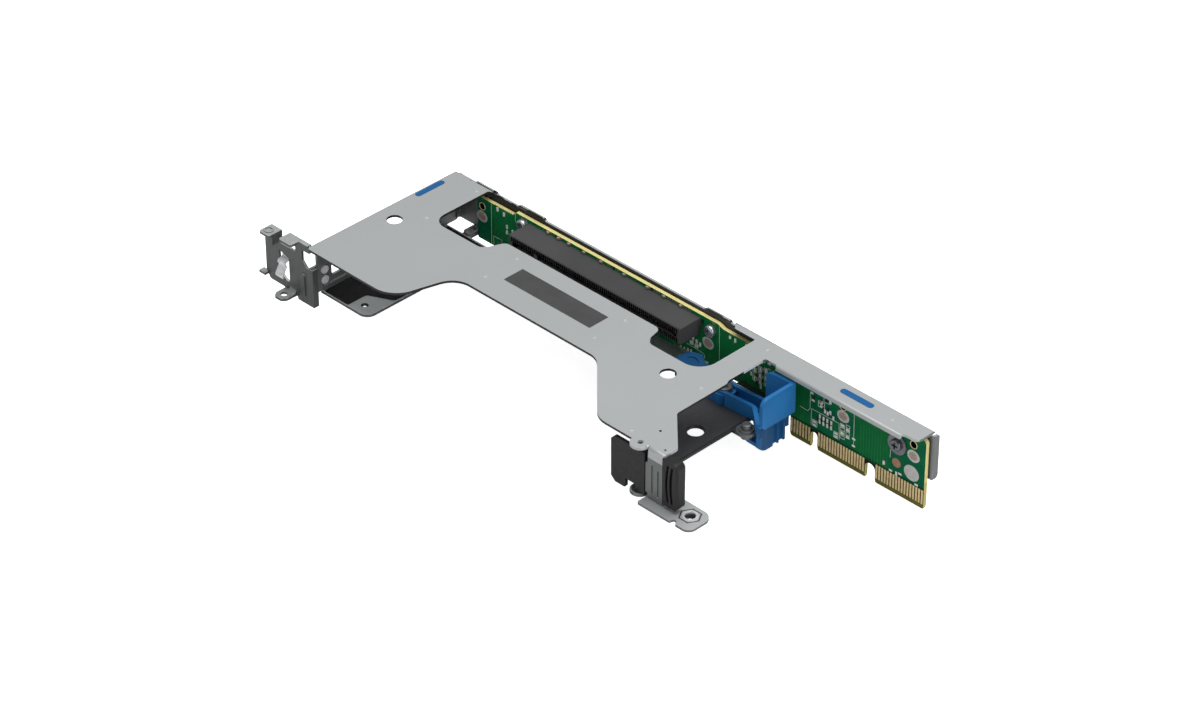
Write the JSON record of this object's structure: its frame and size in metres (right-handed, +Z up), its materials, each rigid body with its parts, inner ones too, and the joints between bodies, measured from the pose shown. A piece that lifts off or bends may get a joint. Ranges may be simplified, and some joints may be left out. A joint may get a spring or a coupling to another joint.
{
  "type": "server riser",
  "caption": "Steel server riser cage with an upright riser board, an expansion card slot, an edge connector that plugs in downwards and a blue release lever.",
  "frame": {"origin": "middle of the edge connector's first key slot, in the middle of the board's thickness, at the lower edge of the contacts", "axes": "+X along the board towards the connector's free end, +Y from the card bay to the rear wall, +Z up, against the way the connector plugs in"},
  "size_m": [0.2698, 0.085, 0.0338],
  "materials": {
    "zinc_steel": "satin zinc-coated sheet steel, not varnished",
    "bracket_steel": "darker bare steel",
    "black_film": "matt insulating film",
    "board_laminate": "green solder mask on glass laminate",
    "gold": "gold-plated contacts",
    "slot_plastic": "dark moulded housing",
    "slot_contact": "plated contact springs",
    "screw_steel": "bright plated steel",
    "chip_body": "ceramic chip bodies",
    "label_grey": "bare dark grey label",
    "touch_blue": "blue touch marks",
    "latch_blue": "blue moulded lever, satin",
    "guide_black": "black moulding",
    "spring_steel": "bright spring steel"
  },
  "bodies": {
    "riser": {"cage": "zinc_steel", "base_plate": "zinc_steel", "rear_bracket": "bracket_steel", "base_film": "black_film", "rear_film": "black_film", "riser_board": "board_laminate", "contacts_front": "gold", "contacts_back": "gold", "card_slot_housing": "slot_plastic", "card_slot_contacts": "slot_contact", "board_standoffs": "screw_steel", "board_screws": "screw_steel", "board_end_screw": "screw_steel", "capacitors": "chip_body", "resistors": "chip_body", "plate_label": "label_grey", "touch_mark_left": "touch_blue", "touch_mark_rail": "touch_blue", "latch_pivot_screw": "screw_steel", "stop_pin": "screw_steel", "card_end_guide": "guide_black", "foot_nut": "screw_steel", "bracket_rivets": "screw_steel", "bracket_spring": "spring_steel"},
    "latch": {"release_latch": "latch_blue"}
  },
  "joints": [
    {"name": "latch_hinge", "type": "hinge", "parent": "riser", "child": "latch", "pos_m": [-0.0316, -0.0141, 0.0156], "axis": [0, 0, 1], "range_deg": [0, 9]}
  ]
}
